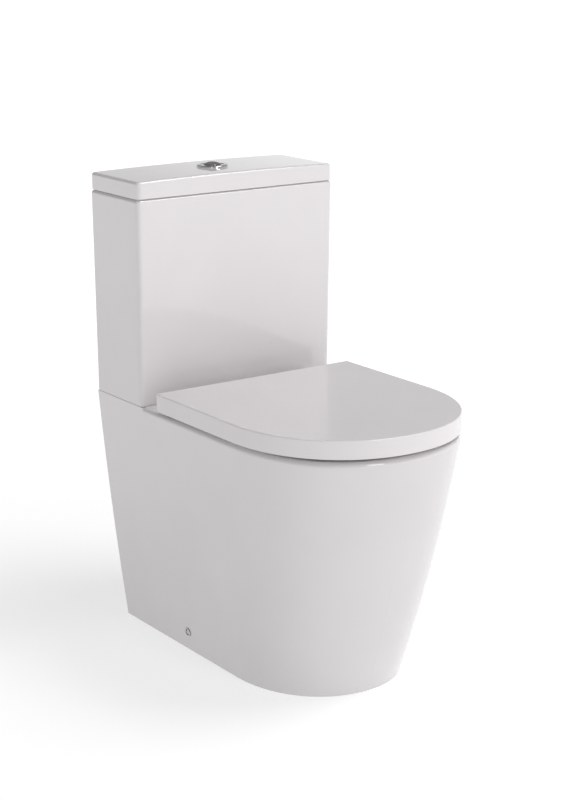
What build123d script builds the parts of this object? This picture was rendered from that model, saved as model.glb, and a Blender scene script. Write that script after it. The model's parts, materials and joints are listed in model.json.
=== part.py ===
from build123d import *
import math
import os

# Close coupled toilet: a fully skirted pan, a cistern with its flush and fill
# valves, a lift-off cistern lid with a two-part push button, and a hinged seat
# ring and cover. Millimetres. +Z is up, the front faces -Y, and the origin is on
# the floor at the middle of the footprint's box. Depths are distances from the
# wall that the pan and the cistern stand against.

# ---- Driving dimensions ------------------------------------------------------
DEPTH = 600.0  # wall to the nose of the seat cover
WALL_Y = DEPTH / 2

# Skirted pan. Each station: height, half width, depth where the nose begins,
# depth of the nose, fullness of the nose's curves.
PAN_TOP = 402.0
SHELF_TOP = 400.8  # the cistern stands on this shelf, a little below the rim
SKIRT = (
    (0.0, 136.8, 335.8, 494.5, 0.591),
    (PAN_TOP / 2, 162.4, 354.9, 555.4, 0.630),
    (PAN_TOP, 182.3, 374.0, 599.0, 0.666),
)
SKIRT_WALL = 10.0
DECK = 14.0  # thickness of the rim and of the shelf under the cistern
RIM_ROUND = 8.0
BACK_OPENING_HALF = 117.0
BACK_OPENING_TOP = 345.0

# Bowl. Each station: height, depth of its centre, half width, half length.
BOWL = (
    (PAN_TOP, 407.0, 148.0, 155.0),
    (345.0, 407.0, 144.0, 151.0),
    (275.0, 402.0, 118.0, 128.0),
    (200.0, 385.0, 82.0, 88.0),
    (150.0, 366.0, 54.0, 58.0),
    (112.0, 355.0, 40.0, 41.0),
    (86.0, 353.0, 29.0, 30.0),
)
BOWL_WALL = 10.0
BOWL_SQUARENESS = 2.3  # 2 is an ellipse
BOWL_EDGE_ROUND = 5.0

# Trapway, with a water seal about 50 deep, and the horizontal outlet.
TRAP_RADIUS = 40.0
OUTLET_RADIUS = 51.0
OUTLET_Z = 185.0
OUTLET_END = 20.0
TRAP_ROUTE = ((352.0, 112.0), (300.0, 112.0), (207.0, 277.0), (120.0, OUTLET_Z), (OUTLET_END, OUTLET_Z))
TRAP_BENDS = (70.0, 60.0, 60.0)

# Cistern.
TANK_BOTTOM = 401.8
TANK_TOP = 730.4
TANK_HALF_BOTTOM = 182.7
TANK_HALF_TOP = 185.3
TANK_DEPTH_BOTTOM = 140.0
TANK_DEPTH_TOP = 146.0
TANK_WALL = 12.0
TANK_FLOOR = 12.0
TANK_CORNER = 7.0
TANK_TOP_ROUND = 5.5
BACK_TRIM = 1.0  # the cistern is made this much deeper, then its back is cut flat
FLOOR_TOP = TANK_BOTTOM + TANK_FLOOR

# Cistern lid.
LID_HALF = 185.0
LID_DEPTH = 146.0
LID_SKIRT_Z = 731.2
LID_TOP = 760.4  # at the middle of the crown
LID_CROWN = 2.4  # how much lower the crown is at the lid's sides
LID_PLATE = 14.0
LID_WALL = 14.0
LID_STEP = 6.5  # how far the shadow groove is set in
LID_RIB = 5.0
LID_RIB_Z = 717.0
LID_CORNER = 8.0
LID_TOP_ROUND = 4.5
LID_LOW_ROUND = 1.0

# Flush valve, on one vertical axis with the button.
VALVE_DEPTH = 71.0
VALVE_Y = WALL_Y - VALVE_DEPTH
TAIL_RADIUS = 30.0
TAIL_BORE = 26.0
TAIL_LOW = 374.0
SEAT_Z = 428.5
SEAL_RADIUS = 31.5
SEAL_THICK = 3.0
CAGE_RADIUS = 36.5
CAGE_WALL = 2.5
CAGE_TOP = 640.0
OVERFLOW_RADIUS = 15.0
OVERFLOW_TOP = 662.0
PIVOT_Z = 702.0
LEVER_HALF = 2.0  # half the thickness of a lever bar
LEVER_PIN = 2.0
FULL_LEVER_Y = VALVE_Y - 8.0
HALF_LEVER_Y = VALVE_Y + 6.0
FULL_ROD_X = 14.5
HALF_ROD_X = -10.4
ROD_RADIUS = 1.6
ROD_LOW = 704.3

# Push button.
BEZEL_RADIUS = 25.0
BEZEL_THICK = 3.2
SLEEVE_RADIUS = 21.0
SLEEVE_BORE = 19.2
SLEEVE_LOW = 722.0
LID_HOLE = 21.5
RING_BUTTON_OUT = 18.9
RING_BUTTON_IN = 14.4
RING_BUTTON_TOP = 763.0
BUTTON_LOW = 746.0
DOME_RADIUS = 14.0
DOME_EDGE_Z = 764.6
DOME_RISE = 3.6
GUIDE_TOP = 726.0
SPRING_COIL = 2.3
SPRING_WIRE = 0.3
SPRING_PITCH = 2.5

# Pan inlet and what joins the cistern to the pan.
RECESS_RADIUS = 65.0
RECESS_FLOOR = 386.0
INLET_RADIUS = 36.0
CHANNEL_HALF = 32.0
CHANNEL_LOW = 334.0
CHANNEL_HIGH = 370.0
TANK_BOLT_X = 92.0
TANK_BOLT_RADIUS = 4.0

# Fill valve, with a bottom inlet.
FILL_X = -140.0
FILL_Y = VALVE_Y
FILL_TAIL_RADIUS = 10.48
FILL_TAIL_LOW = 352.0
FILL_RELIEF = (380.0, 382.0)  # groove between the nut's thread and the hose's thread
FILL_RELIEF_RADIUS = 9.6
FILL_BORE = 6.0
FILL_RISER = 8.5
FILL_HEAD_Z = 640.0
SERVICE_HOLE = 24.0
FLOAT_LOW = 500.0
FLOAT_HIGH = 560.0
FLOAT_RADIUS = 24.0
FLOAT_ROD_X = FILL_X + 20.0
FLOAT_PIVOT_X = FILL_X - 8.0
FLOAT_PIVOT_Z = 682.0
FLOAT_LEVER_REACH = 31.0

# Seat cover and seat ring, on one hinge axis along X.
COVER_HALF = 185.4
COVER_REAR = 188.5
COVER_NOSE_START = 400.8
COVER_FULLNESS = 0.59
COVER_LOW = 406.6
COVER_TOP = 434.7
COVER_WALL = 3.6
COVER_PLATE = 4.0
COVER_EDGE_ROUND = 1.8
COVER_REAR_ROUND = 8.0
RING_LOW = 407.0
RING_TOP = 427.5
RING_HALF = 180.0
RING_NOSE = 594.6
RING_REAR = 219.0
RING_HOLE_DEPTH = 402.0
RING_HOLE_HALF = 115.0
RING_HOLE_LENGTH = 140.0
HINGE_DEPTH = 204.0
HINGE_Y = WALL_Y - HINGE_DEPTH
HINGE_Z = 424.0
HINGE_X = 77.5
PIN_RADIUS = 3.5
PIN_CLEARANCE = 0.06
KNUCKLE = 6.2
POST_HALF = 8.0
POST_BASE = 15.0
DAMPER_RADIUS = 6.0
STUD_RADIUS = 4.0

# Fixings that hold the pan to the floor.
BRACKET_DEPTH = 200.0
BRACKET_OUT = 122.0
BRACKET_IN = 82.0
BRACKET_HALF = 25.0
BRACKET_THICK = 4.0
BRACKET_HIGH = 52.0
FLOOR_HOLE_X = 98.0
FLOOR_HOLE = 3.5
SIDE_SCREW_Z = 32.5
SIDE_FACE_X = 140.2
CUP_RADIUS = 7.0
CUP_THICK = 3.0


# ---- Plain shapes ------------------------------------------------------------
def y_at(depth):
    """Y of a point that is this far from the wall."""
    return WALL_Y - depth


def post(radius, low, high, x=0.0, y=VALVE_Y):
    """Upright cylinder between two heights."""
    base = Align.MIN
    return Pos(x, y, low) * Cylinder(radius, high - low, align=(Align.CENTER, Align.CENTER, base))


def pipe(outer, inner, low, high, x=0.0, y=VALVE_Y):
    """Upright tube between two heights."""
    return post(outer, low, high, x, y) - post(inner, low - 1, high + 1, x, y)


def rod_x(radius, start, end, y=HINGE_Y, z=HINGE_Z):
    """Cylinder along X."""
    middle = (start + end) / 2
    return Pos(middle, y, z) * Rot(0, 90, 0) * Cylinder(radius, abs(end - start))


def rod_y(radius, start, end, x, z):
    """Cylinder along Y."""
    middle = (start + end) / 2
    return Pos(x, middle, z) * Rot(90, 0, 0) * Cylinder(radius, abs(end - start))


def block(x_range, y_range, z_range):
    """Box between three pairs of limits."""
    spans = (x_range, y_range, z_range)
    middle = [sum(span) / 2 for span in spans]
    sides = [abs(span[1] - span[0]) for span in spans]
    return Pos(*middle) * Box(*sides)


def around(value, half):
    """Pair of limits at equal distances from a value."""
    return (value - half, value + half)


def mirrored(shape):
    """A shape and its twin on the other side of the YZ plane."""
    return [shape, mirror(shape, about=Plane.YZ)]


def write(name, *shapes):
    """Write the solids of one node to its STEP file."""
    solids = [solid for shape in shapes for solid in shape.solids()]
    export_step(solids[0] if len(solids) == 1 else Compound(solids), f"parts/{name}.step")


# ---- Outlines ----------------------------------------------------------------
def d_outline(half, rear, nose_start, nose, fullness, z):
    """D-shaped face: straight rear and sides, and a nose of two quarter curves."""
    y_rear, y_start, y_nose = y_at(rear), y_at(nose_start), y_at(nose)
    y_handle = y_start + fullness * (y_nose - y_start)
    x_handle = half * fullness
    left, right = (-half, y_start, z), (half, y_start, z)
    tip = (0, y_nose, z)
    edges = [
        Line((-half, y_rear, z), left),
        Bezier(left, (-half, y_handle, z), (-x_handle, y_nose, z), tip),
        Bezier(tip, (x_handle, y_nose, z), (half, y_handle, z), right),
        Line(right, (half, y_rear, z)),
        Line((half, y_rear, z), (-half, y_rear, z)),
    ]
    return make_face(edges)


def egg_outline(depth, half, length, z, squareness=BOWL_SQUARENESS, points=20):
    """Closed smooth face between an ellipse and a rectangle."""
    power = 2 / squareness
    ring = []
    for step in range(points):
        turn = 2 * math.pi * step / points
        across = math.copysign(abs(math.cos(turn)) ** power, math.cos(turn))
        along = math.copysign(abs(math.sin(turn)) ** power, math.sin(turn))
        ring.append((half * across, y_at(depth) + length * along, z))
    return make_face([Spline(*ring, periodic=True)])


def rounded_section(half, depth, corner, z, inset=0.0, past=0.0):
    """Rounded rectangle against the wall, or past it, moved in by an inset on every side."""
    sides = (2 * (half - inset), depth + past - 2 * inset)
    return Pos(0, y_at((depth - past) / 2), z) * RectangleRounded(*sides, corner)


def mouth_edge(body, z, y):
    """Longest edge at this height that goes round a point on the middle plane."""
    level = body.edges().filter_by_position(Axis.Z, z - 0.1, z + 0.1)
    return level.filter_by(lambda edge: abs(edge.bounding_box().center().Y - y) < 6).sort_by(Edge.length)[-1]


# ---- Pan ---------------------------------------------------------------------
def skirt_body(inset=0.0, rear=0.0):
    """Skirt's outer form, or its inside when moved in by the wall."""
    sections = []
    for z, half, start, nose, fullness in SKIRT:
        sections.append(d_outline(half - inset, rear, start, nose - inset, fullness, z))
    return loft(sections)


def bowl_body(grow=0.0, top=PAN_TOP):
    """Bowl's inner form, or its outer form when grown by the wall."""
    sections = []
    for z, depth, half, length in BOWL:
        height = z - grow if z == BOWL[-1][0] else min(z, top)
        sections.append(egg_outline(depth, half + grow, length + grow, height))
    return loft(sections)


def trap_body(radius):
    """Round pipe along the trap's route."""
    points = [(0, y_at(depth), z) for depth, z in TRAP_ROUTE]
    route = FilletPolyline(*points, radius=list(TRAP_BENDS))
    start = Plane(origin=points[0], z_dir=(0, 1, 0))
    return sweep(start * Circle(radius), path=route)


def make_pan():
    outside = skirt_body()
    shelf_y = (y_at(TANK_DEPTH_BOTTOM + 1), WALL_Y)
    shelf = outside & block((-200, 200), shelf_y, (0, SHELF_TOP))
    top_edges = outside.edges().filter_by_position(Axis.Z, PAN_TOP - 0.1, PAN_TOP + 0.1)
    rim_edges = top_edges.filter_by(lambda edge: edge.center().Y < WALL_Y - 1)
    outside = fillet(rim_edges, RIM_ROUND) - block((-200, 200), shelf_y, (SHELF_TOP, PAN_TOP + 1)) + shelf

    hollow = skirt_body(SKIRT_WALL, SKIRT_WALL)
    hollow &= block((-200, 200), (-WALL_Y, WALL_Y), (-1, PAN_TOP - DECK))
    back = block(around(0, BACK_OPENING_HALF), around(WALL_Y, 12), (-1, BACK_OPENING_TOP))
    pan = outside - hollow - back

    pan += bowl_body(BOWL_WALL, PAN_TOP - DECK / 2)
    pan += trap_body(TRAP_RADIUS + BOWL_WALL)
    pan += rod_y(OUTLET_RADIUS, y_at(OUTLET_END), y_at(OUTLET_END + 70), 0, OUTLET_Z)
    channel_y = (y_at(262), y_at(45))
    pan += block(around(0, CHANNEL_HALF + BOWL_WALL), channel_y, (CHANNEL_LOW - BOWL_WALL, PAN_TOP - DECK + 1))
    pan += post(RECESS_RADIUS + 6, CHANNEL_HIGH, PAN_TOP - DECK + 1)

    pan -= bowl_body()
    pan -= trap_body(TRAP_RADIUS)
    pan -= rod_y(TRAP_RADIUS, y_at(OUTLET_END - 5), y_at(OUTLET_END + 5), 0, OUTLET_Z)
    pan -= block(around(0, CHANNEL_HALF), (y_at(265), y_at(55)), (CHANNEL_LOW, CHANNEL_HIGH))
    pan -= post(INLET_RADIUS, CHANNEL_HIGH - 10, PAN_TOP + 1)
    pan -= post(RECESS_RADIUS, RECESS_FLOOR, PAN_TOP + 1)
    for side in (-1, 1):
        pan -= post(7, 360, PAN_TOP + 1, side * TANK_BOLT_X)
        pan -= post(SERVICE_HOLE, 360, PAN_TOP + 1, side * abs(FILL_X))
        pan -= post(7, 360, PAN_TOP + 1, side * HINGE_X, HINGE_Y)
        pan -= rod_x(4, side * 120, side * 150, y_at(BRACKET_DEPTH), SIDE_SCREW_Z)
        pan -= rod_x(CUP_RADIUS + 0.6, side * SIDE_FACE_X, side * 150, y_at(BRACKET_DEPTH), SIDE_SCREW_Z)
    return fillet(mouth_edge(pan, PAN_TOP, y_at(BOWL[0][1])), BOWL_EDGE_ROUND)


def make_floor_fixings():
    y = y_at(BRACKET_DEPTH)
    base = block((BRACKET_IN, BRACKET_OUT), around(y, BRACKET_HALF), (0, BRACKET_THICK))
    wall = block((BRACKET_OUT - BRACKET_THICK, BRACKET_OUT), around(y, BRACKET_HALF), (0, BRACKET_HIGH))
    bracket = base + wall - post(FLOOR_HOLE, -1, BRACKET_THICK + 1, FLOOR_HOLE_X, y)
    bracket -= rod_x(3, BRACKET_OUT - 8, BRACKET_OUT + 1, y, SIDE_SCREW_Z)
    write("floor_brackets", *mirrored(bracket))

    nut_x = (BRACKET_OUT - BRACKET_THICK - 6, BRACKET_OUT - BRACKET_THICK)
    nut = block(nut_x, around(y, 6), around(SIDE_SCREW_Z, 6)) - rod_x(2.55, *nut_x, y, SIDE_SCREW_Z)
    write("bracket_nuts", *mirrored(nut))

    cup_end = SIDE_FACE_X + CUP_THICK
    cup = rod_x(CUP_RADIUS, SIDE_FACE_X, cup_end, y, SIDE_SCREW_Z)
    cup = fillet(cup.edges().group_by(Axis.X)[-1], 1.2)
    cup -= rod_x(4.7, SIDE_FACE_X + 1, cup_end + 1, y, SIDE_SCREW_Z)
    cup -= rod_x(2.7, SIDE_FACE_X - 1, cup_end, y, SIDE_SCREW_Z)
    write("side_fixing_cups", *mirrored(cup))

    shank = rod_x(2.5, BRACKET_OUT - 14, SIDE_FACE_X + 1.1, y, SIDE_SCREW_Z)
    head = rod_x(4.3, SIDE_FACE_X + 1, cup_end - 0.4, y, SIDE_SCREW_Z)
    head = fillet(head.edges().group_by(Axis.X)[-1], 1.2)
    write("side_fixing_screws", *mirrored(shank + head))


# ---- Cistern -----------------------------------------------------------------
def make_tank():
    low = rounded_section(TANK_HALF_BOTTOM, TANK_DEPTH_BOTTOM, TANK_CORNER, TANK_BOTTOM, past=BACK_TRIM)
    high = rounded_section(TANK_HALF_TOP, TANK_DEPTH_TOP, TANK_CORNER, TANK_TOP, past=BACK_TRIM)
    inner_low = rounded_section(TANK_HALF_BOTTOM, TANK_DEPTH_BOTTOM, TANK_CORNER, FLOOR_TOP, TANK_WALL)
    inner_high = rounded_section(TANK_HALF_TOP, TANK_DEPTH_TOP, TANK_CORNER, TANK_TOP, TANK_WALL)
    outer = loft([low, high], ruled=True)
    outer = fillet(outer.faces().sort_by(Axis.Z)[-1].edges(), TANK_TOP_ROUND)
    outer -= block((-200, 200), (WALL_Y, WALL_Y + 10), (TANK_BOTTOM - 1, TANK_TOP + 1))
    tank = outer - loft([inner_low, inner_high], ruled=True)
    tank -= post(TAIL_RADIUS + 1.5, TANK_BOTTOM - 1, FLOOR_TOP + 1)
    tank -= post(FILL_TAIL_RADIUS + 1, TANK_BOTTOM - 1, FLOOR_TOP + 1, FILL_X, FILL_Y)
    for side in (-1, 1):
        tank -= post(TANK_BOLT_RADIUS + 1.5, TANK_BOTTOM - 1, FLOOR_TOP + 1, side * TANK_BOLT_X)
    return tank


def wing_nut(bore, radius, low, high, x, y):
    """Round nut with two upright wings."""
    nut = post(radius, low, high, x, y)
    nut += block(around(x, radius + 9), around(y, 1.6), (low - 5, high - 3))
    return nut - post(bore, low - 6, high + 1, x, y)


def make_tank_fixings():
    x = TANK_BOLT_X
    gasket = pipe(RECESS_RADIUS - 0.5, 46, RECESS_FLOOR, TANK_BOTTOM)
    write("tank_gasket", gasket)

    cushion = block((118, 160), around(VALVE_Y, 9), (SHELF_TOP, TANK_BOTTOM))
    cushion = Pos(0, 50, 0) * cushion
    write("tank_cushions", *mirrored(cushion))

    seal = pipe(13, TANK_BOLT_RADIUS, FLOOR_TOP, FLOOR_TOP + 3.5, x)
    write("tank_bolt_seals", *mirrored(seal))

    head_low = FLOOR_TOP + 3.5
    bolt = post(TANK_BOLT_RADIUS, 355, head_low + 1, x) + post(10, head_low, head_low + 5, x)
    bolt -= block(around(x, 11), around(VALVE_Y, 0.9), (head_low + 3, head_low + 6))
    write("tank_bolts", *mirrored(bolt))

    shelf_low = PAN_TOP - DECK
    washer = pipe(13, TANK_BOLT_RADIUS + 0.5, shelf_low - 2, shelf_low, x)
    write("tank_bolt_washers", *mirrored(washer))
    nut = wing_nut(TANK_BOLT_RADIUS, 8.5, shelf_low - 14, shelf_low - 2, x, VALVE_Y)
    write("tank_wing_nuts", *mirrored(nut))


def make_lid():
    skirt = extrude(rounded_section(LID_HALF, LID_DEPTH, LID_CORNER, LID_SKIRT_Z), LID_TOP - LID_SKIRT_Z)
    crown_radius = (LID_HALF**2 + LID_CROWN**2) / (2 * LID_CROWN)
    skirt &= rod_y(crown_radius, y_at(LID_DEPTH + 10), y_at(-10), 0, LID_TOP - crown_radius)
    skirt = fillet(skirt.faces().sort_by(Axis.Z)[-1].edges(), LID_TOP_ROUND)
    skirt = fillet(skirt.faces().sort_by(Axis.Z)[0].edges(), LID_LOW_ROUND)
    step = extrude(rounded_section(LID_HALF, LID_DEPTH, 4, TANK_TOP, LID_STEP), LID_SKIRT_Z - TANK_TOP + 1)
    rib = extrude(rounded_section(LID_HALF, LID_DEPTH, 4, LID_RIB_Z, LID_WALL), LID_SKIRT_Z - LID_RIB_Z)
    inside = rounded_section(LID_HALF, LID_DEPTH, 3, LID_RIB_Z - 1, LID_WALL + LID_RIB)
    inside = extrude(inside, LID_TOP - LID_PLATE - LID_RIB_Z + 1)
    lid = skirt + step + rib - inside
    return lid - post(LID_HOLE, LID_SKIRT_Z, LID_TOP + 1)


# ---- Push button -------------------------------------------------------------
def spring(x, y, low, high):
    """Coil spring between two heights, standing on its end coils."""
    height = high - low - 2 * SPRING_WIRE
    coil = Helix(SPRING_PITCH, height, SPRING_COIL)
    start = Plane(origin=coil @ 0, z_dir=coil % 0)
    return Pos(x, y, low + SPRING_WIRE) * sweep(start * Circle(SPRING_WIRE), path=coil, is_frenet=True)


def make_button():
    flange = post(BEZEL_RADIUS, LID_TOP, LID_TOP + BEZEL_THICK)
    flange = fillet(flange.edges().group_by(Axis.Z)[-1], 1.4)
    sleeve = post(SLEEVE_RADIUS, SLEEVE_LOW, LID_TOP + 1)
    bezel = flange + sleeve - post(SLEEVE_BORE, SLEEVE_LOW - 1, LID_TOP + BEZEL_THICK + 1)
    write("button_bezel", bezel)

    plate_low = LID_TOP - LID_PLATE
    nut = post(29, plate_low - 8, plate_low)
    for step in range(8):
        turn = math.radians(45 * step)
        nut -= post(3, plate_low - 9, plate_low + 1, 30 * math.cos(turn), VALVE_Y + 30 * math.sin(turn))
    write("button_nut", nut - post(SLEEVE_RADIUS + 0.05, plate_low - 9, plate_low + 1))

    guide = post(SLEEVE_BORE, SLEEVE_LOW, GUIDE_TOP)
    guide -= post(ROD_RADIUS + 0.4, SLEEVE_LOW - 1, GUIDE_TOP + 1, FULL_ROD_X, FULL_LEVER_Y)
    guide -= post(ROD_RADIUS + 0.4, SLEEVE_LOW - 1, GUIDE_TOP + 1, HALF_ROD_X, HALF_LEVER_Y)
    write("button_guide", guide)

    ring = post(RING_BUTTON_OUT, BUTTON_LOW, RING_BUTTON_TOP)
    ring = fillet(ring.edges().group_by(Axis.Z)[-1], 0.8)
    ring -= post(RING_BUTTON_IN, BUTTON_LOW - 1, RING_BUTTON_TOP + 1)
    write("full_flush_button", ring)

    dome_radius = (DOME_RADIUS**2 + DOME_RISE**2) / (2 * DOME_RISE)
    dome = Pos(0, VALVE_Y, DOME_EDGE_Z + DOME_RISE - dome_radius) * Sphere(dome_radius)
    cap = post(DOME_RADIUS, 752, DOME_EDGE_Z + DOME_RISE) & dome
    cap += post(12, BUTTON_LOW, 753)
    write("half_flush_button", cap)

    write("full_flush_rod", post(ROD_RADIUS, ROD_LOW, BUTTON_LOW, FULL_ROD_X, FULL_LEVER_Y))
    write("half_flush_rod", post(ROD_RADIUS, ROD_LOW, BUTTON_LOW, HALF_ROD_X, HALF_LEVER_Y))
    write("full_flush_spring", spring(FULL_ROD_X, FULL_LEVER_Y, GUIDE_TOP, BUTTON_LOW))
    write("half_flush_spring", spring(HALF_ROD_X, HALF_LEVER_Y, GUIDE_TOP, BUTTON_LOW))


# ---- Flush valve -------------------------------------------------------------
def make_flush_valve():
    washer_top = FLOOR_TOP + 3.2
    write("flush_valve_washer", pipe(42, TAIL_RADIUS + 0.2, FLOOR_TOP, washer_top))

    base = post(TAIL_RADIUS, TAIL_LOW, washer_top) + post(43, washer_top, washer_top + 4)
    base += post(CAGE_RADIUS - CAGE_WALL, washer_top, SEAT_Z - 1.5)
    base += post(29, washer_top, SEAT_Z)
    write("flush_valve_base", base - post(TAIL_BORE, TAIL_LOW - 1, SEAT_Z + 1))

    nut = post(43, RECESS_FLOOR + 3, TANK_BOTTOM)
    for step in range(10):
        turn = math.radians(36 * step)
        x, y = 45 * math.cos(turn), VALVE_Y + 45 * math.sin(turn)
        nut -= post(4, RECESS_FLOOR, TANK_BOTTOM + 1, x, y)
    write("flush_valve_nut", nut - post(TAIL_RADIUS + 0.05, RECESS_FLOOR, TANK_BOTTOM + 1))

    cage_low = washer_top + 4
    cage = pipe(CAGE_RADIUS, CAGE_RADIUS - CAGE_WALL, cage_low, CAGE_TOP)
    cage += pipe(CAGE_RADIUS - 1, OVERFLOW_RADIUS + 0.5, CAGE_TOP - 4, CAGE_TOP)
    for turn in (0, 90):
        for low, high in ((SEAT_Z, 466), (484, 600)):
            window = block((-60, 60), (-12, 12), (low, high))
            cage -= Pos(0, VALVE_Y, 0) * Rot(0, 0, 45 + turn) * window
    for side in (-1, 1):
        strap = block((-7, 7), around(VALVE_Y + side * 20.5, 1.5), (CAGE_TOP - 3, PIVOT_Z + 6))
        cage += strap
    cage -= rod_y(LEVER_PIN, VALVE_Y - 25, VALVE_Y + 25, 0, PIVOT_Z)
    write("flush_valve_cage", cage)
    write("lever_pin", rod_y(LEVER_PIN, VALVE_Y - 22, VALVE_Y + 22, 0, PIVOT_Z))

    write("overflow_tube", pipe(OVERFLOW_RADIUS, OVERFLOW_RADIUS - 2, SEAT_Z - 4, OVERFLOW_TOP))
    seal_top = SEAT_Z + SEAL_THICK
    write("flush_seal", pipe(SEAL_RADIUS, OVERFLOW_RADIUS, SEAT_Z, seal_top))
    write("seal_retainer", pipe(26, OVERFLOW_RADIUS, seal_top, seal_top + 3))
    write("valve_float", pipe(30, OVERFLOW_RADIUS, 500, 560))


def lever(pivot_y, reach_left, reach_right):
    """Flat rocking bar on the flush valve's pivot."""
    thick = around(pivot_y, 2.5)
    bar = block((reach_left, reach_right), thick, around(PIVOT_Z, LEVER_HALF))
    bar += rod_y(LEVER_HALF, *thick, reach_left, PIVOT_Z)
    bar += rod_y(LEVER_HALF, *thick, reach_right, PIVOT_Z)
    bar += rod_y(5, *thick, 0, PIVOT_Z)
    return bar - rod_y(LEVER_PIN + PIN_CLEARANCE, *around(pivot_y, 4), 0, PIVOT_Z)


def make_levers():
    write("full_flush_lever", lever(FULL_LEVER_Y, -30, 17))
    write("half_flush_lever", lever(HALF_LEVER_Y, -13, 22))

    yoke = pipe(19, OVERFLOW_RADIUS, 646, 654)
    full_y, half_y = around(FULL_LEVER_Y, 2.5), around(HALF_LEVER_Y, 2.5)
    yoke += block((-37, -15), full_y, (646, 651))
    yoke += block((-37, -34), full_y, (646, 709))
    yoke += block((-37, -26), full_y, (704.6, 709))
    yoke += block((16, 30), half_y, (646, 651))
    yoke += block((27, 30), half_y, (646, 718.5))
    yoke += block((21.7, 30), half_y, (715.8, 718.5))
    write("lift_yoke", yoke - post(OVERFLOW_RADIUS, 640, 660))


# ---- Fill valve --------------------------------------------------------------
def make_fill_valve():
    x, y = FILL_X, FILL_Y
    washer_top = FLOOR_TOP + 2.5
    write("fill_valve_washer", pipe(17, FILL_TAIL_RADIUS + 0.1, FLOOR_TOP, washer_top, x, y))

    body = post(FILL_TAIL_RADIUS, FILL_TAIL_LOW, washer_top, x, y)
    body -= pipe(FILL_TAIL_RADIUS + 1, FILL_RELIEF_RADIUS, *FILL_RELIEF, x, y)
    body += post(17, washer_top, washer_top + 4, x, y)
    body += post(FILL_RISER, washer_top, FILL_HEAD_Z, x, y)
    body += post(15, FILL_HEAD_Z, FILL_HEAD_Z + 24, x, y)
    body -= post(FILL_BORE, FILL_TAIL_LOW - 1, FILL_HEAD_Z + 25, x, y)
    body -= block((x - 20, x), around(y, 3), (FILL_HEAD_Z + 5, FILL_HEAD_Z + 15))
    write("fill_valve_body", body)

    nut = post(17.5, TANK_BOTTOM - 10, TANK_BOTTOM, x, y)
    for step in range(6):
        turn = math.radians(60 * step)
        side_x, side_y = x + 20 * math.cos(turn), y + 20 * math.sin(turn)
        nut -= post(4, TANK_BOTTOM - 11, TANK_BOTTOM + 1, side_x, side_y)
    write("fill_valve_nut", nut - post(FILL_TAIL_RADIUS + 0.05, TANK_BOTTOM - 11, TANK_BOTTOM + 1, x, y))

    filter_top = FILL_TAIL_LOW + 14
    basket = pipe(FILL_BORE, 4.6, FILL_TAIL_LOW + 1, filter_top, x, y)
    basket += post(FILL_BORE, filter_top - 1.5, filter_top, x, y)
    basket -= block(around(x, 8), around(y, 1), (FILL_TAIL_LOW + 4, filter_top - 3))
    basket -= block(around(x, 1), around(y, 8), (FILL_TAIL_LOW + 4, filter_top - 3))
    write("inlet_filter", basket)

    head_top = FILL_HEAD_Z + 24
    write("fill_diaphragm", post(14, head_top, head_top + 2.5, x, y))
    cap = post(16, head_top, head_top + 12, x, y) - post(14, head_top - 1, head_top + 2.5, x, y)
    for side in (-1, 1):
        ear = block(around(FLOAT_PIVOT_X, 3.5), around(y + side * 4.8, 1.4), (head_top + 11, FLOAT_PIVOT_Z + 4))
        cap += ear
    cap -= rod_y(1.5, y - 8, y + 8, FLOAT_PIVOT_X, FLOAT_PIVOT_Z)
    write("fill_valve_cap", cap)
    write("float_lever_pin", rod_y(1.5, y - 6.2, y + 6.2, FLOAT_PIVOT_X, FLOAT_PIVOT_Z))

    arm_end = FLOAT_PIVOT_X + FLOAT_LEVER_REACH
    arm = block((FLOAT_PIVOT_X, arm_end), around(y, 3), around(FLOAT_PIVOT_Z, LEVER_HALF))
    arm += rod_y(3, y - 3, y + 3, FLOAT_PIVOT_X, FLOAT_PIVOT_Z)
    write("float_lever", arm - rod_y(1.5 + PIN_CLEARANCE, y - 4, y + 4, FLOAT_PIVOT_X, FLOAT_PIVOT_Z))

    cup = pipe(FLOAT_RADIUS, FILL_RISER + 0.5, FLOAT_LOW, FLOAT_HIGH, x, y)
    cup -= pipe(FLOAT_RADIUS - 2, FILL_RISER + 2.5, FLOAT_LOW - 1, FLOAT_HIGH - 3, x, y)
    write("fill_float", cup)
    rod_top = FLOAT_PIVOT_Z - LEVER_HALF - 0.3
    write("float_rod", post(1.5, FLOAT_HIGH, rod_top, FLOAT_ROD_X, y))


# ---- Seat --------------------------------------------------------------------
def hinge_bore(start, end):
    """Hole for the hinge pin, with running clearance."""
    return rod_x(PIN_RADIUS + PIN_CLEARANCE, start, end)


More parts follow.
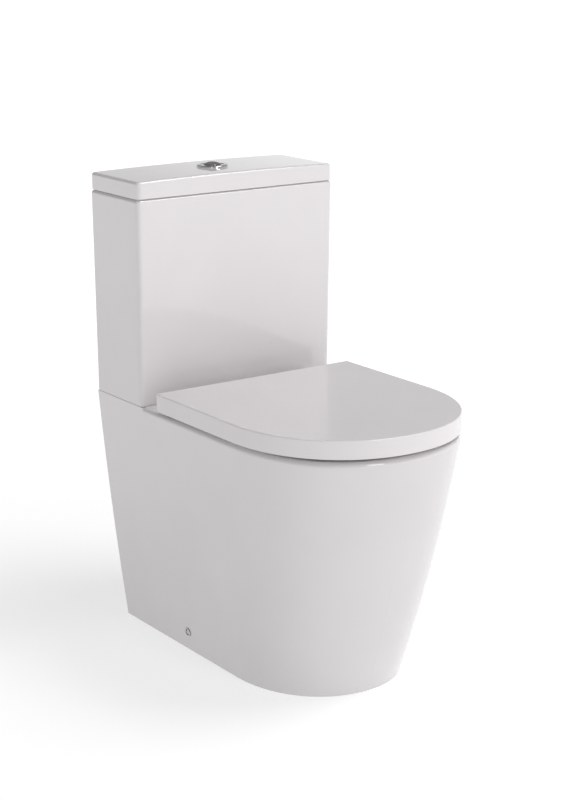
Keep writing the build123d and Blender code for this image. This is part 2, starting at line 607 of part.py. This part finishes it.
def make_cover():
    depth_out = (COVER_REAR, COVER_NOSE_START, DEPTH)
    outer = extrude(d_outline(COVER_HALF, *depth_out, COVER_FULLNESS, COVER_LOW), COVER_TOP - COVER_LOW)
    corners = outer.edges().filter_by(Axis.Z).sort_by(Axis.Y)[-2:]
    outer = fillet(corners, 2.5)
    outer = fillet(outer.faces().sort_by(Axis.Z)[-1].edges(), COVER_EDGE_ROUND)
    side = block((-200, 200), (y_at(DEPTH + 5), y_at(COVER_REAR)), (COVER_LOW, COVER_TOP + 5))
    low_rear = side.edges().filter_by(Axis.X).group_by(Axis.Z)[0].sort_by(Axis.Y)[-1]
    outer &= fillet(low_rear, COVER_REAR_ROUND)

    inner_half = COVER_HALF - COVER_WALL
    plate_low = COVER_TOP - COVER_PLATE
    depth_in = (COVER_REAR + COVER_WALL, COVER_NOSE_START, DEPTH - COVER_WALL)
    inner = d_outline(inner_half, *depth_in, COVER_FULLNESS, COVER_LOW - 1)
    cover = outer - extrude(inner, plate_low - COVER_LOW + 1)
    rear = (y_at(COVER_REAR + COVER_WALL + 1), y_at(COVER_REAR - 1))
    cover -= block(around(0, inner_half - 1), rear, (COVER_LOW - 1, HINGE_Z - 11))
    for side in (-1, 1):
        cover -= block(around(side * HINGE_X, POST_BASE + 2), rear, (COVER_LOW - 1, plate_low))
        start, end = side * 55, side * 68.6
        limits = (min(start, end), max(start, end))
        cover += rod_x(KNUCKLE, start, end)
        cover += block(limits, around(HINGE_Y, 4.5), (HINGE_Z, plate_low + 1))
        cover -= hinge_bore(start - side, end + side)
    cradle = block((26, 53), around(HINGE_Y, 9), (HINGE_Z + 1.5, plate_low + 1))
    return cover + (cradle - rod_x(DAMPER_RADIUS, 24, 55))


def make_ring():
    depths = (RING_REAR, COVER_NOSE_START, RING_NOSE)
    outline = d_outline(RING_HALF, *depths, COVER_FULLNESS, RING_LOW)
    ring = extrude(outline, RING_TOP - RING_LOW)
    ring = fillet(ring.edges().filter_by(Axis.Z).sort_by(Axis.Y)[-2:], 10)
    ring = fillet(ring.faces().sort_by(Axis.Z)[-1].edges(), 4)
    hole = egg_outline(RING_HOLE_DEPTH, RING_HOLE_HALF, RING_HOLE_LENGTH, RING_LOW - 1)
    ring -= extrude(hole, RING_TOP - RING_LOW + 2)
    ring = fillet(mouth_edge(ring, RING_TOP, y_at(RING_HOLE_DEPTH)), 6)

    margin = 8.0
    groove_depths = (RING_REAR + margin, COVER_NOSE_START, RING_NOSE - margin)
    groove = extrude(d_outline(RING_HALF - margin, *groove_depths, COVER_FULLNESS, RING_LOW - 1), 11)
    island = egg_outline(RING_HOLE_DEPTH, RING_HOLE_HALF + margin, RING_HOLE_LENGTH + margin, RING_LOW - 1)
    ring -= groove - extrude(island, 12)

    web_y = (y_at(RING_REAR + 6), HINGE_Y)
    for side in (-1, 1):
        start, end = side * 86.4, side * 100
        limits = (min(start, end), max(start, end))
        ring += rod_x(KNUCKLE, start, end)
        ring += block(limits, web_y, (HINGE_Z - 6, RING_TOP))
        ring -= hinge_bore(start - side, end + side)
    cradle_y = (y_at(RING_REAR + 6), y_at(HINGE_DEPTH + 4))
    cradle = block((-53, -26), cradle_y, (HINGE_Z - 6, RING_TOP))
    return ring + (cradle - rod_x(DAMPER_RADIUS, -55, -24))


def make_buffers():
    ring_spots = ((159.0, 300.0), (82.0, 556.0))
    cover_spots = ((150.0, 320.0), (80.0, 548.0))
    feet, pads = [], []
    for x, depth in ring_spots:
        foot = post(5.5, PAN_TOP + 0.1, RING_LOW + 10, x, y_at(depth))
        foot = fillet(foot.edges().group_by(Axis.Z)[0], 1)
        feet += mirrored(foot)
    for x, depth in cover_spots:
        pad = post(7, RING_TOP + 0.1, COVER_TOP - COVER_PLATE, x, y_at(depth))
        pads += mirrored(pad)
    write("ring_buffers", *feet)
    write("cover_buffers", *pads)


def make_hinges():
    pad_top = PAN_TOP + 1.5
    base_top = pad_top + 3.3
    stand = post(POST_BASE, pad_top, base_top, HINGE_X, HINGE_Y)
    stand += block(around(HINGE_X, POST_HALF), (HINGE_Y - 6, HINGE_Y + 4), (base_top - 1, HINGE_Z))
    stand += rod_x(KNUCKLE, HINGE_X - POST_HALF, HINGE_X + POST_HALF)
    stand -= rod_x(PIN_RADIUS, HINGE_X - 20, HINGE_X + 20)
    stand -= post(STUD_RADIUS, pad_top - 1, HINGE_Z - 8, HINGE_X, HINGE_Y)
    write("hinge_posts", *mirrored(stand))

    write("hinge_pads", *mirrored(pipe(POST_BASE, STUD_RADIUS + 0.5, PAN_TOP, pad_top, HINGE_X, HINGE_Y)))
    write("hinge_studs", *mirrored(post(STUD_RADIUS, 345, HINGE_Z - 8, HINGE_X, HINGE_Y)))
    write("hinge_pins", *mirrored(rod_x(PIN_RADIUS, 27.5, 101.5)))

    shelf_low = PAN_TOP - DECK
    cone = Pos(HINGE_X, HINGE_Y, shelf_low - 3) * Cone(9, 14, 6)
    cone -= post(STUD_RADIUS, shelf_low - 10, shelf_low + 1, HINGE_X, HINGE_Y)
    write("hinge_washers", *mirrored(cone))
    nut = wing_nut(STUD_RADIUS, 8, shelf_low - 18, shelf_low - 6, HINGE_X, HINGE_Y)
    write("hinge_wing_nuts", *mirrored(nut))

    barrel = rod_x(DAMPER_RADIUS, 25, 54) - hinge_bore(26, 55)
    write("cover_damper", barrel)
    write("ring_damper", mirror(barrel, about=Plane.YZ))


os.makedirs("parts", exist_ok=True)
write("pan", make_pan())
make_floor_fixings()
write("cistern_tank", make_tank())
make_tank_fixings()
write("cistern_lid", make_lid())
make_button()
make_flush_valve()
make_levers()
make_fill_valve()
write("seat_cover", make_cover())
write("seat_ring", make_ring())
make_buffers()
make_hinges()
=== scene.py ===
import json
import math

import bmesh
import bpy
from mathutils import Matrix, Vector


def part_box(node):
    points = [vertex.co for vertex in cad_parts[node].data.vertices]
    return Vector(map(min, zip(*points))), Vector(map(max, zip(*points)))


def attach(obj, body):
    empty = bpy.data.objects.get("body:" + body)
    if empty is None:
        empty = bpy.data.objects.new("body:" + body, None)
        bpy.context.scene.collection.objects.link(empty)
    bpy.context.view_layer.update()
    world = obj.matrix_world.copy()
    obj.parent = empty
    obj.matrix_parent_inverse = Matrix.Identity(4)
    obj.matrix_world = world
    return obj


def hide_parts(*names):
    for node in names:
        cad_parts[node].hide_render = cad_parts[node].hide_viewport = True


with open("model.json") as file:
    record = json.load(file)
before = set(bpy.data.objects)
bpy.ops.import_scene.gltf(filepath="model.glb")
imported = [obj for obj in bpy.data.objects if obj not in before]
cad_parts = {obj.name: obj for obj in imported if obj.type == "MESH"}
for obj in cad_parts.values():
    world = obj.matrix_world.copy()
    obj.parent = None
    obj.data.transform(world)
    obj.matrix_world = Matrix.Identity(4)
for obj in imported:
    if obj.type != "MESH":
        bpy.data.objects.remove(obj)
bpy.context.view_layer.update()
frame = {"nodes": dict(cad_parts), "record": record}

nodes = frame["nodes"]


# ---- Shading -----------------------------------------------------------------
# Noise detail and roughness of the colour clouds, and of the finer grain in roughness and relief.
CLOUD = 4.0, 0.55
GRAIN = 3.0, 0.6
GRAIN_PER_CLOUD = 14
COAT_ROUGHNESS = 0.03
IOR = 1.5
# Where a two-colour ramp starts and ends on a noise value.
CLOUD_START, CLOUD_END = 0.3, 0.7

# Name: low and high colour, low and high roughness, cloud scale, relief strength and distance.
FINISHES = {
    "glazed_china": ((0.690, 0.667, 0.673), (0.712, 0.689, 0.695), (0.07, 0.13), 7.0, (0.06, 0.0003)),
    "seat_plastic": ((0.735, 0.711, 0.717), (0.752, 0.728, 0.734), (0.20, 0.28), 9.0, (0.04, 0.0002)),
    "chrome": ((0.44, 0.44, 0.45), (0.54, 0.54, 0.55), (0.06, 0.13), 60.0, (0.03, 0.0001)),
    "steel": ((0.52, 0.52, 0.53), (0.66, 0.66, 0.67), (0.28, 0.42), 80.0, (0.10, 0.0002)),
    "brass": ((0.62, 0.47, 0.22), (0.78, 0.61, 0.31), (0.22, 0.38), 80.0, (0.10, 0.0002)),
    "black_rubber": ((0.020, 0.020, 0.022), (0.045, 0.045, 0.047), (0.55, 0.75), 90.0, (0.25, 0.0003)),
    "grey_foam": ((0.05, 0.05, 0.052), (0.09, 0.09, 0.092), (0.85, 0.98), 60.0, (0.7, 0.0008)),
    "clear_rubber": ((0.62, 0.62, 0.60), (0.70, 0.70, 0.68), (0.35, 0.50), 60.0, (0.15, 0.0002)),
    "white_nylon": ((0.70, 0.70, 0.68), (0.76, 0.76, 0.74), (0.40, 0.55), 60.0, (0.15, 0.0002)),
    "blue_nylon": ((0.05, 0.14, 0.36), (0.07, 0.18, 0.44), (0.35, 0.50), 60.0, (0.15, 0.0002)),
    "grey_nylon": ((0.16, 0.165, 0.18), (0.21, 0.215, 0.23), (0.40, 0.55), 60.0, (0.15, 0.0002)),
    "red_silicone": ((0.32, 0.03, 0.02), (0.42, 0.05, 0.03), (0.40, 0.55), 60.0, (0.15, 0.0002)),
}
METALS = ("chrome", "steel", "brass")
COATS = {"glazed_china": 0.5, "seat_plastic": 0.15}


def material(name):
    """New node material, its node tree and its Principled shader."""
    made = bpy.data.materials.new(name)
    made.use_nodes = True
    tree = made.node_tree
    return made, tree, tree.nodes["Principled BSDF"]


def noise(tree, scale, detail, roughness):
    """Noise texture in object coordinates."""
    place = tree.nodes.new("ShaderNodeTexCoord")
    node = tree.nodes.new("ShaderNodeTexNoise")
    tree.links.new(place.outputs["Object"], node.inputs["Vector"])
    for socket, value in (("Scale", scale), ("Detail", detail), ("Roughness", roughness)):
        node.inputs[socket].default_value = value
    return node.outputs["Fac"]


def ramp(tree, source, low, high, start=CLOUD_START, end=CLOUD_END):
    """Two-colour ramp over a texture's value."""
    node = tree.nodes.new("ShaderNodeValToRGB")
    for element, colour, position in zip(node.color_ramp.elements, (low, high), (start, end)):
        element.color = (*colour, 1)
        element.position = position
    tree.links.new(source, node.inputs["Fac"])
    return node.outputs["Color"]


def spread(tree, source, low, high, start=0.0, end=1.0):
    """Value mapped from one range to another."""
    node = tree.nodes.new("ShaderNodeMapRange")
    for socket, value in (("From Min", start), ("From Max", end), ("To Min", low), ("To Max", high)):
        node.inputs[socket].default_value = value
    tree.links.new(source, node.inputs["Value"])
    return node.outputs["Result"]


def bump(tree, shader, source, strength, distance):
    """Fine relief on the shader's normal."""
    node = tree.nodes.new("ShaderNodeBump")
    node.inputs["Strength"].default_value = strength
    node.inputs["Distance"].default_value = distance
    tree.links.new(source, node.inputs["Height"])
    tree.links.new(node.outputs["Normal"], shader.inputs["Normal"])


def finish_material(name, low, high, rough, scale, relief):
    """Surface whose colour and roughness vary a little, with a fine relief."""
    made, tree, shader = material(name)
    cloud = noise(tree, scale, *CLOUD)
    grain = noise(tree, scale * GRAIN_PER_CLOUD, *GRAIN)
    tree.links.new(ramp(tree, cloud, low, high), shader.inputs["Base Color"])
    tree.links.new(spread(tree, grain, *rough), shader.inputs["Roughness"])
    bump(tree, shader, grain, *relief)
    shader.inputs["Metallic"].default_value = 1.0 if name in METALS else 0.0
    shader.inputs["Coat Weight"].default_value = COATS.get(name, 0.0)
    shader.inputs["Coat Roughness"].default_value = COAT_ROUGHNESS
    shader.inputs["IOR"].default_value = IOR
    return made


finishes = {name: finish_material(name, *settings) for name, settings in FINISHES.items()}
for row in frame["record"]["subparts"]:
    mesh = nodes[row["node"]].data
    mesh.materials.clear()
    mesh.materials.append(finishes[row["material_slot"]])


# ---- Seat ring ---------------------------------------------------------------
# Nose of the D-shaped outline: where it begins, as a share of the cover's depth from its rear, and
# how full it is, as the reach of its curve's handles.
NOSE_START = 0.516
FULLNESS = 0.59
# Steps along each stretch of the outline, and the radius of its rear corners.
REAR_STEPS, CORNER_STEPS, SIDE_STEPS, NOSE_STEPS = 5, 6, 12, 48
REAR_CORNER = 0.010
# Ring, in metres from its box and from the hinge axis.
RING_AHEAD, RING_ABOVE = 0.015, 0.0035
HOLE_FROM_NOSE, HOLE_HALF, HOLE_LENGTH = 0.1926, 0.115, 0.140
HOLE_SQUARENESS = 2.3
EYE_RADIUS, EYE_ENDS, CRADLE_ENDS = 0.0062, (0.0864, 0.100), (-0.053, -0.026)
EYE_STEPS = 32
WEB_REACH = 0.006
SHARP_ANGLE = 35.0
# Section of the ring: share of the way from its outer edge to the hole, share of its height.
RING_PROFILE = (
    (0.030, 0.00), (0.006, 0.03), (0.000, 0.10), (0.000, 0.40), (0.000, 0.68), (0.008, 0.82), (0.028, 0.93),
    (0.065, 0.985), (0.12, 1.00), (0.22, 0.995), (0.34, 0.975), (0.47, 0.94), (0.60, 0.90), (0.72, 0.855),
    (0.82, 0.80), (0.90, 0.73), (0.955, 0.63), (0.985, 0.50), (1.00, 0.36), (1.00, 0.20), (0.99, 0.08),
    (0.96, 0.00), (0.88, 0.00), (0.86, 0.05), (0.86, 0.46), (0.16, 0.46), (0.16, 0.05), (0.14, 0.00),
)


def curve_point(points, t):
    """Point of a cubic Bezier curve."""
    u = 1 - t
    weights = (u**3, 3 * u * u * t, 3 * u * t * t, t**3)
    return tuple(sum(weight * point[axis] for weight, point in zip(weights, points)) for axis in (0, 1))


def d_points(half, rear, start, nose):
    """Closed D-shaped outline, from the middle of the rear, as (x, y) points."""
    corner = REAR_CORNER
    handle = start + FULLNESS * (nose - start)
    right = [(step / REAR_STEPS * (half - corner), rear) for step in range(REAR_STEPS + 1)]
    for step in range(1, CORNER_STEPS + 1):
        turn = math.pi / 2 * step / CORNER_STEPS
        right.append((half - corner + corner * math.sin(turn), rear - corner + corner * math.cos(turn)))
    for step in range(1, SIDE_STEPS + 1):
        right.append((half, rear - corner + (start - rear + corner) * step / SIDE_STEPS))
    curve = ((half, start), (half, handle), (half * FULLNESS, nose), (0.0, nose))
    right += [curve_point(curve, step / NOSE_STEPS) for step in range(1, NOSE_STEPS + 1)]
    left = [(-x, y) for x, y in reversed(right[1:-1])]
    return right + left


def hole_points(outline, middle):
    """Point of the hole's edge on the same ray from the hole's middle as each outline point."""
    made = []
    for x, y in outline:
        dx, dy = x, y - middle
        across = abs(dx / HOLE_HALF) ** HOLE_SQUARENESS
        along = abs(dy / HOLE_LENGTH) ** HOLE_SQUARENESS
        reach = (across + along) ** (1 / HOLE_SQUARENESS)
        made.append((dx / reach, middle + dy / reach))
    return made


def smooth_mesh(name, vertices, faces, slot, node, body):
    """Mesh object that stands for a CAD node, with that node's finish."""
    mesh = bpy.data.meshes.new(name)
    mesh.from_pydata(vertices, [], faces)
    mesh.validate()
    shape = bmesh.new()
    shape.from_mesh(mesh)
    bmesh.ops.recalc_face_normals(shape, faces=shape.faces)
    shape.to_mesh(mesh)
    shape.free()
    for polygon in mesh.polygons:
        polygon.use_smooth = True
    made = bpy.data.objects.new(name, mesh)
    bpy.context.collection.objects.link(made)
    mesh.materials.append(finishes[slot])
    mesh.set_sharp_from_angle(angle=math.radians(SHARP_ANGLE))
    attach(made, body)
    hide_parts(node)


def ring_of_rows(rows):
    """Vertices and quads that join closed rows of equal length, round and round."""
    vertices = [point for row in rows for point in row]
    count = len(rows[0])
    faces = []
    for row in range(len(rows)):
        this, after = row * count, (row + 1) % len(rows) * count
        for step in range(count):
            ahead = (step + 1) % count
            faces.append((this + step, this + ahead, after + ahead, after + step))
    return vertices, faces


def add_rod(vertices, faces, ends, centre, radius):
    """Adds a closed cylinder along X."""
    base = len(vertices)
    count = EYE_STEPS
    for x in ends:
        for step in range(count):
            turn = 2 * math.pi * step / count
            vertices.append((x, centre[0] + radius * math.cos(turn), centre[1] + radius * math.sin(turn)))
    for step in range(count):
        ahead = (step + 1) % count
        faces.append((base + step, base + ahead, base + count + ahead, base + count + step))
    faces.append(tuple(range(base, base + count)))
    faces.append(tuple(range(base + count, base + 2 * count)))


def add_block(vertices, faces, low, high):
    """Adds a closed box."""
    base = len(vertices)
    for x in (low[0], high[0]):
        for y in (low[1], high[1]):
            for z in (low[2], high[2]):
                vertices.append((x, y, z))
    for quad in ((0, 1, 3, 2), (4, 6, 7, 5), (0, 4, 5, 1), (2, 3, 7, 6), (0, 2, 6, 4), (1, 5, 7, 3)):
        faces.append(tuple(base + corner for corner in quad))


def make_ring():
    """Seat ring with a dished top that falls towards the hole, a rolled rim and its hinge eyes."""
    low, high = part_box("seat_ring")
    joints = frame["record"]["behaviour"]["joints"]
    hinge = next(joint for joint in joints if joint["name"] == "seat_ring_hinge")
    axis_y, axis_z = hinge["pos_m"][1:]
    rear, top = axis_y - RING_AHEAD, axis_z + RING_ABOVE
    cover_low, cover_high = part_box("seat_cover")
    start = cover_high[1] + NOSE_START * (cover_low[1] - cover_high[1])
    outline = d_points(high[0], rear, start, low[1])
    hole = hole_points(outline, low[1] + HOLE_FROM_NOSE)
    rows = []
    for share, height in RING_PROFILE:
        z = low[2] + height * (top - low[2])
        row = []
        for outer, inner in zip(outline, hole):
            x, y = (a + share * (b - a) for a, b in zip(outer, inner))
            row.append((x, y, z))
        rows.append(row)
    vertices, faces = ring_of_rows(rows)
    web_front, web_low = rear - WEB_REACH, axis_z - EYE_RADIUS
    for ends in (EYE_ENDS, (-EYE_ENDS[1], -EYE_ENDS[0])):
        add_rod(vertices, faces, ends, (axis_y, axis_z), EYE_RADIUS)
        add_block(vertices, faces, (ends[0], web_front, web_low), (ends[1], axis_y, top))
    cradle_rear = axis_y - EYE_RADIUS
    add_block(vertices, faces, (CRADLE_ENDS[0], web_front, web_low), (CRADLE_ENDS[1], cradle_rear, top))
    smooth_mesh("contoured_seat_ring", vertices, faces, "seat_plastic", "seat_ring", "ring")


make_ring()


# ---- Studio ------------------------------------------------------------------
# Light from the world: colour at the horizon and overhead, with the heights of the change between
# them, and strength on the left and on the right.
HORIZON, OVERHEAD = (2.15, 2.14, 2.14), (0.62, 0.61, 0.61)
HORIZON_TOP, OVERHEAD_START = 0.10, 0.24
SKY_LEFT, SKY_RIGHT = 0.33, 0.50
BACKDROP = 1.05
# Floor: half its width, its two greys, the scale, detail and roughness of its clouds, and a painted
# glow, emitted light that stands in for studio light and grows with the distance from the object.
FLOOR_REACH = 30.0
FLOOR_GREYS = (0.50, 0.50, 0.50), (0.52, 0.52, 0.52)
FLOOR_ROUGHNESS = 0.9
FLOOR_CLOUD = 1.5, 2.0, 0.5
GLOW_START, GLOW_END = 0.45, 3.2
FLOOR_GLOW_NEAR, FLOOR_GLOW_FAR = 0.64, 1.0
# Name: place, point it faces, width and height, power.
SOFTBOXES = {
    "key": ((0.2, -3.3, 1.9), (0, 0, 0.4), (0.9, 1.5), 20),
    "top": ((1.1, -0.9, 3.1), (0, 0, 0.4), (1.3, 1.3), 50),
    "strip": ((-2.3, -2.9, 1.3), (0, 0, 0.5), (0.16, 1.8), 4),
}
# Camera: place, degrees it looks down, degrees it turns to the right, lens in millimetres, and how
# far the picture is shifted.
CAMERA_PLACE = (-1.6179, -2.2878, 1.1711)
CAMERA_DOWN, CAMERA_RIGHT = 15.178, 35.75
CAMERA_LENS = 83.54
CAMERA_SHIFT = -0.0338, 0.0070
CAMERA_CLIP = 30


def link_object(name, data):
    """New object in the scene."""
    made = bpy.data.objects.new(name, data)
    bpy.context.collection.objects.link(made)
    return made


def softbox(name, place, aim, size, power):
    """Rectangular area light that faces a point."""
    lamp = bpy.data.lights.new(name, "AREA")
    lamp.shape = "RECTANGLE"
    lamp.size, lamp.size_y = size
    lamp.energy = power
    holder = link_object(name, lamp)
    holder.location = place
    holder.rotation_euler = (Vector(aim) - Vector(place)).to_track_quat("-Z", "Y").to_euler()


def make_world():
    """Plain white to the camera; as light, brighter near the horizon than overhead."""
    world = bpy.data.worlds.new("studio")
    bpy.context.scene.world = world
    world.use_nodes = True
    tree = world.node_tree
    soft = tree.nodes["Background"]
    place = tree.nodes.new("ShaderNodeTexCoord")
    split = tree.nodes.new("ShaderNodeSeparateXYZ")
    tree.links.new(place.outputs["Generated"], split.inputs["Vector"])
    fade = ramp(tree, split.outputs["Z"], HORIZON, OVERHEAD, HORIZON_TOP, OVERHEAD_START)
    tree.links.new(fade, soft.inputs["Color"])
    across = spread(tree, split.outputs["X"], SKY_LEFT, SKY_RIGHT, start=-1.0)
    tree.links.new(across, soft.inputs["Strength"])
    white = tree.nodes.new("ShaderNodeBackground")
    white.inputs["Color"].default_value = (1, 1, 1, 1)
    white.inputs["Strength"].default_value = BACKDROP
    path = tree.nodes.new("ShaderNodeLightPath")
    mix = tree.nodes.new("ShaderNodeMixShader")
    tree.links.new(path.outputs["Is Camera Ray"], mix.inputs["Fac"])
    tree.links.new(soft.outputs["Background"], mix.inputs[1])
    tree.links.new(white.outputs["Background"], mix.inputs[2])
    tree.links.new(mix.outputs["Shader"], tree.nodes["World Output"].inputs["Surface"])


def make_floor():
    """Pale floor with a painted glow, brightest far off, that melts into the white round it."""
    mesh = bpy.data.meshes.new("floor")
    corners = [(x * FLOOR_REACH, y * FLOOR_REACH, 0) for x, y in ((-1, -1), (1, -1), (1, 1), (-1, 1))]
    mesh.from_pydata(corners, [], [(0, 1, 2, 3)])
    floor = link_object("floor", mesh)
    made, tree, shader = material("pale_floor")
    tree.links.new(ramp(tree, noise(tree, *FLOOR_CLOUD), *FLOOR_GREYS), shader.inputs["Base Color"])
    shader.inputs["Roughness"].default_value = FLOOR_ROUGHNESS
    shader.inputs["Specular IOR Level"].default_value = 0.0
    place = tree.nodes.new("ShaderNodeTexCoord")
    far = tree.nodes.new("ShaderNodeVectorMath")
    far.operation = "LENGTH"
    tree.links.new(place.outputs["Object"], far.inputs[0])
    # Painted light: the floor's emission, weaker near the object and full white far off.
    glow = spread(tree, far.outputs["Value"], FLOOR_GLOW_NEAR, FLOOR_GLOW_FAR, GLOW_START, GLOW_END)
    shader.inputs["Emission Color"].default_value = (1, 1, 1, 1)
    tree.links.new(glow, shader.inputs["Emission Strength"])
    mesh.materials.append(made)


def make_camera():
    """Three-quarter view from the front left, from a little above."""
    camera = bpy.data.cameras.new("camera")
    camera.lens = CAMERA_LENS
    camera.shift_x, camera.shift_y = CAMERA_SHIFT
    camera.clip_end = CAMERA_CLIP
    holder = link_object("camera", camera)
    holder.location = CAMERA_PLACE
    holder.rotation_euler = (math.radians(90 - CAMERA_DOWN), 0, math.radians(-CAMERA_RIGHT))
    bpy.context.scene.camera = holder


make_world()
make_floor()
make_camera()
for name, settings in SOFTBOXES.items():
    softbox(name, *settings)
bpy.context.scene.view_settings.view_transform = "Standard"
